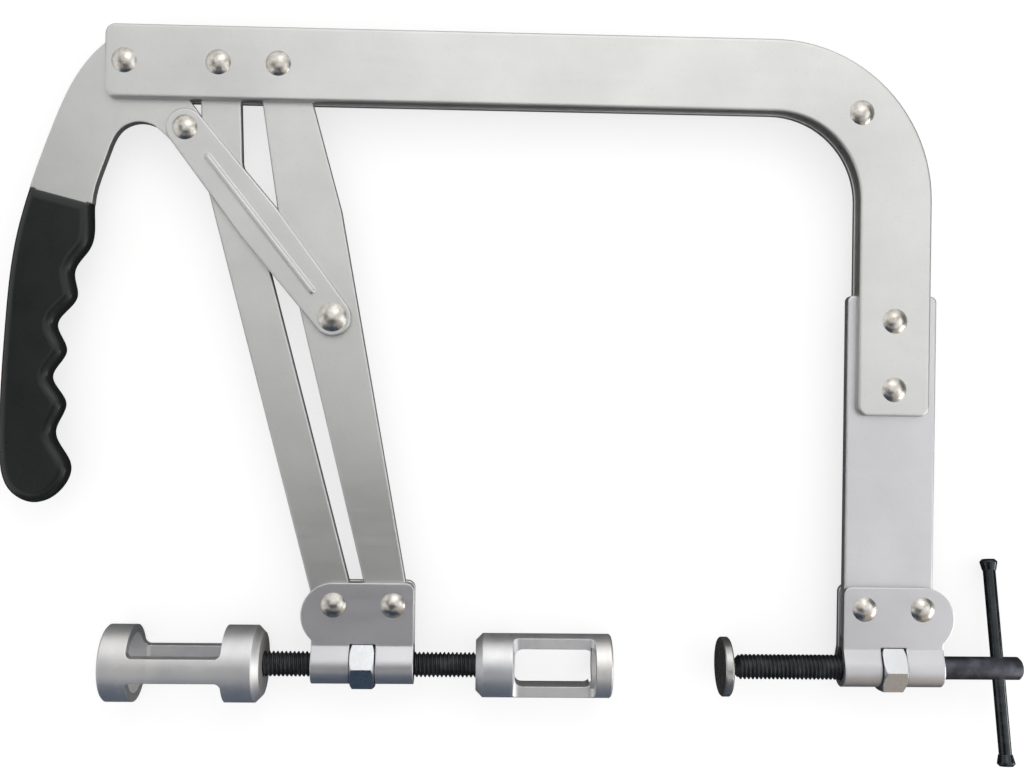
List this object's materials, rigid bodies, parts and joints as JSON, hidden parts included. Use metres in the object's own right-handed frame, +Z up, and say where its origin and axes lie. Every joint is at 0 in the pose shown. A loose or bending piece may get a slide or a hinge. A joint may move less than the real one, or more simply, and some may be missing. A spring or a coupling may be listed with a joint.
{
  "type": "valve spring compressor",
  "caption": "Lever operated frame clamp that squeezes a valve spring between a slotted cup and a screw fed swivel pad, so the valve can be freed from a cylinder head.",
  "frame": {"origin": "centre of the swivel pad's flat face, on the axis of the two clamp screws", "axes": "The tool lies flat. +X runs along the clamp screws from the pad towards the cross bar, +Y runs up the frame from the screws to the top bar, +Z is up out of the flat tool"},
  "size_m": [0.523, 0.3695, 0.0384],
  "materials": {
    "plated_sheet": "satin zinc plated sheet steel with softened edges",
    "rivet_steel": "polished domed heads",
    "washer_steel": "plain steel",
    "nut_zinc": "bright zinc plated",
    "cup_steel": "satin turned and milled steel",
    "black_steel": "black oxide",
    "pad_steel": "black oxide with worn rim",
    "grip_vinyl": "glossy dipped vinyl"
  },
  "bodies": {
    "frame": {"front_frame_plate": "plated_sheet", "rear_frame_plate": "plated_sheet", "corner_spacer": "washer_steel", "leg": "plated_sheet", "handle_pivot_rivet": "rivet_steel", "outer_arm_rivet": "rivet_steel", "inner_arm_rivet": "rivet_steel", "corner_rivet": "rivet_steel", "leg_rivets": "rivet_steel", "screw_bracket": "plated_sheet", "screw_bracket_rivets": "rivet_steel", "screw_nut": "nut_zinc"},
    "inner_arm": {"inner_arm": "plated_sheet", "toggle_rivet": "rivet_steel"},
    "outer_arm": {"outer_arm": "plated_sheet"},
    "spindle_bracket": {"spindle_bracket": "plated_sheet", "spindle_bracket_rivets": "rivet_steel", "spindle_nut": "nut_zinc"},
    "toggle": {"front_toggle_link": "plated_sheet", "rear_toggle_link": "plated_sheet", "lever_link_rivet": "rivet_steel"},
    "lever": {"handle_lever": "plated_sheet", "handle_grip": "grip_vinyl"},
    "spindle_rod": {"spindle_rod": "black_steel"},
    "cups": {"small_cup": "cup_steel", "large_cup": "cup_steel"},
    "swivel_pad": {"swivel_pad": "pad_steel"},
    "feed_screw": {"feed_screw": "black_steel"},
    "cross_bar": {"cross_bar": "black_steel", "cross_bar_knobs": "black_steel"}
  },
  "joints": [
    {"name": "arm_swing", "type": "hinge", "parent": "frame", "child": "inner_arm", "pos_m": [-0.2289, 0.303, 0], "axis": [0, 0, -1], "range_deg": [0, 12]},
    {"name": "outer_arm_swing", "type": "hinge", "parent": "frame", "child": "outer_arm", "pos_m": [-0.25885, 0.303, 0], "axis": [0, 0, -1], "range_deg": [0, 12]},
    {"name": "bracket_level", "type": "hinge", "parent": "inner_arm", "child": "spindle_bracket", "pos_m": [-0.1678, 0.031, 0], "axis": [0, 0, -1], "range_deg": [-12, 0]},
    {"name": "toggle_fold", "type": "hinge", "parent": "inner_arm", "child": "toggle", "pos_m": [-0.20041, 0.17616, 0], "axis": [0, 0, -1], "range_deg": [-18, 0]},
    {"name": "lever_throw", "type": "hinge", "parent": "toggle", "child": "lever", "pos_m": [-0.2753, 0.2703, 0], "axis": [0, 0, -1], "range_deg": [0, 56.8]},
    {"name": "spindle_travel", "type": "slide", "parent": "spindle_bracket", "child": "spindle_rod", "axis": [1, 0, 0], "range_m": [-0.02965, 0.02118]},
    {"name": "cup_spin", "type": "hinge", "parent": "spindle_rod", "child": "cups", "pos_m": [-0.175, 0, 0], "axis": [1, 0, 0], "range_deg": [-5040, 3600]},
    {"name": "pad_travel", "type": "slide", "parent": "frame", "child": "swivel_pad", "axis": [1, 0, 0], "range_m": [-0.01906, 0.05505]},
    {"name": "screw_spin", "type": "hinge", "parent": "swivel_pad", "child": "feed_screw", "pos_m": [0.08, 0, 0], "axis": [1, 0, 0], "range_deg": [-3240, 9360]},
    {"name": "cross_bar_slide", "type": "slide", "parent": "feed_screw", "child": "cross_bar", "axis": [0, 0.9744, -0.225], "range_m": [-0.0444, 0.0368]}
  ],
  "couplings": [
    {"joint": "outer_arm_swing", "follows": "arm_swing", "ratio": 1},
    {"joint": "bracket_level", "follows": "arm_swing", "ratio": -1},
    {"joint": "toggle_fold", "follows": "arm_swing", "ratio": -1.497},
    {"joint": "lever_throw", "follows": "arm_swing", "ratio": 4.73},
    {"joint": "spindle_travel", "follows": "cup_spin", "m_per_rad": 0.00033688},
    {"joint": "pad_travel", "follows": "screw_spin", "m_per_rad": 0.00033688}
  ]
}
